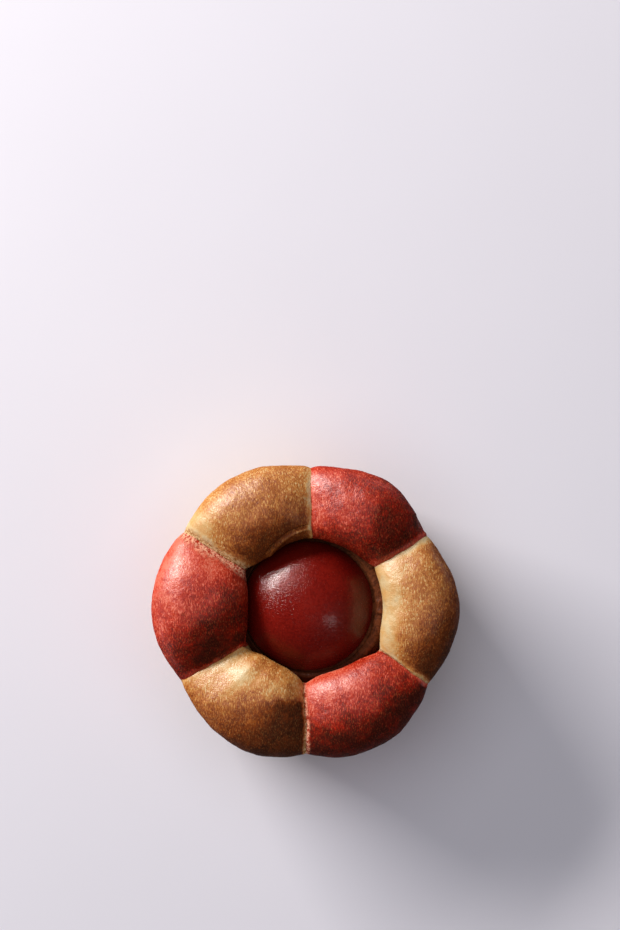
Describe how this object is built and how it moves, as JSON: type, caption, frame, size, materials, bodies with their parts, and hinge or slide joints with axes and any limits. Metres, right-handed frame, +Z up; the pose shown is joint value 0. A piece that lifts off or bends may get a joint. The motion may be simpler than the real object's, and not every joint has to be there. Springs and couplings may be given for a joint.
{
  "type": "filled brioche bun",
  "caption": "Round brioche bun of plain and red dough balls risen in a ring, with cream and a fruit jelly dome in the hollow.",
  "frame": {"origin": "on the table, under the middle of the bun's width and depth", "axes": "+Z up, +X to the right and +Y away from the reader as the bun is seen from above in the picture"},
  "size_m": [0.1002, 0.095, 0.0516],
  "materials": {
    "plain_dough": "baked brown crust, slight egg-wash sheen",
    "red_dough": "baked red crust, slight egg-wash sheen",
    "cream": "smooth, moist",
    "jelly": "wet gloss"
  },
  "bodies": {
    "root": {"plain_disc": "plain_dough", "plain_ball_1": "plain_dough", "red_ball_1": "red_dough", "plain_ball_2": "plain_dough", "red_ball_2": "red_dough", "plain_ball_3": "plain_dough", "red_ball_3": "red_dough", "cream_filling": "cream", "jelly_dome": "jelly"}
  },
  "joints": []
}
